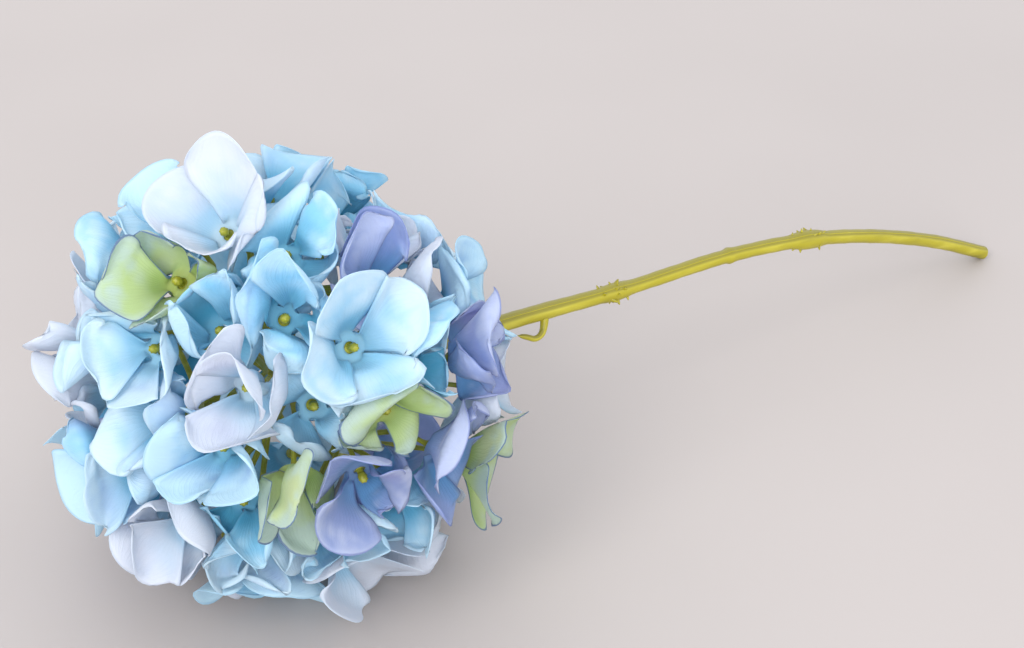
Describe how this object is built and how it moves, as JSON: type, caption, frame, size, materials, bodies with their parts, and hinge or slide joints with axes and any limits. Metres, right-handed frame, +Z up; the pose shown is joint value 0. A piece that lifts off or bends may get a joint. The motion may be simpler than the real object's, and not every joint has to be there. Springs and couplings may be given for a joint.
{
  "type": "artificial hydrangea flower head",
  "caption": "Round head of crowded four-petalled fabric florets in blue, white, lavender and green, on a bare bent moulded stem, lying on its side.",
  "frame": {"origin": "middle of the flower's footprint, on the surface that it lies on", "axes": "+X along the stem from the head towards its cut end, +Z up, -Y the side that the picture's camera sees"},
  "size_m": [0.4041, 0.1587, 0.1596],
  "materials": {
    "stem": "moulded, slightly waxy, with a lighter parting line",
    "petal_blue": "thin dyed polyester, paler at the edges",
    "petal_pale": "thin dyed polyester, nearly white at the edges",
    "petal_white": "thin polyester, faintly blue towards the centre",
    "petal_lavender": "thin dyed polyester, pinkish at the edges",
    "petal_green": "thin dyed polyester, blue-grey rim with a fine dark edge"
  },
  "bodies": {
    "root": {"floret_01_white": "petal_white", "floret_02_blue": "petal_blue", "floret_03_blue": "petal_blue", "floret_04_pale": "petal_pale", "floret_05_green": "petal_green", "floret_06_blue": "petal_blue", "floret_07_lavender": "petal_lavender", "floret_08_pale": "petal_pale", "floret_09_green": "petal_green", "floret_10_lavender": "petal_lavender", "floret_11_white": "petal_white", "floret_12_blue": "petal_blue", "floret_13_white": "petal_white", "floret_14_lavender": "petal_lavender", "floret_15_blue": "petal_blue", "floret_16_pale": "petal_pale", "floret_17_white": "petal_white", "floret_18_green": "petal_green", "floret_19_white": "petal_white", "floret_20_pale": "petal_pale", "floret_21_blue": "petal_blue", "floret_22_lavender": "petal_lavender", "floret_23_blue": "petal_blue", "floret_24_pale": "petal_pale", "floret_25_green": "petal_green", "floret_26_blue": "petal_blue", "floret_27_blue": "petal_blue", "floret_28_white": "petal_white", "floret_29_pale": "petal_pale", "floret_30_white": "petal_white", "floret_31_pale": "petal_pale", "floret_32_blue": "petal_blue", "floret_33_pale": "petal_pale", "floret_34_white": "petal_white", "floret_35_white": "petal_white", "floret_36_blue": "petal_blue", "floret_37_pale": "petal_pale", "floret_38_blue": "petal_blue", "floret_39_white": "petal_white", "floret_40_pale": "petal_pale", "floret_41_pale": "petal_pale", "floret_42_lavender": "petal_lavender", "floret_43_blue": "petal_blue", "floret_44_white": "petal_white", "floret_45_pale": "petal_pale", "floret_46_blue": "petal_blue", "floret_47_pale": "petal_pale", "floret_48_white": "petal_white", "floret_49_blue": "petal_blue", "floret_50_pale": "petal_pale", "floret_51_lavender": "petal_lavender", "floret_52_blue": "petal_blue", "floret_53_white": "petal_white", "floret_54_pale": "petal_pale", "floret_55_blue": "petal_blue", "floret_56_pale": "petal_pale", "floret_57_white": "petal_white", "floret_58_blue": "petal_blue", "flower_rays": "stem", "main_stem": "stem"}
  },
  "joints": []
}
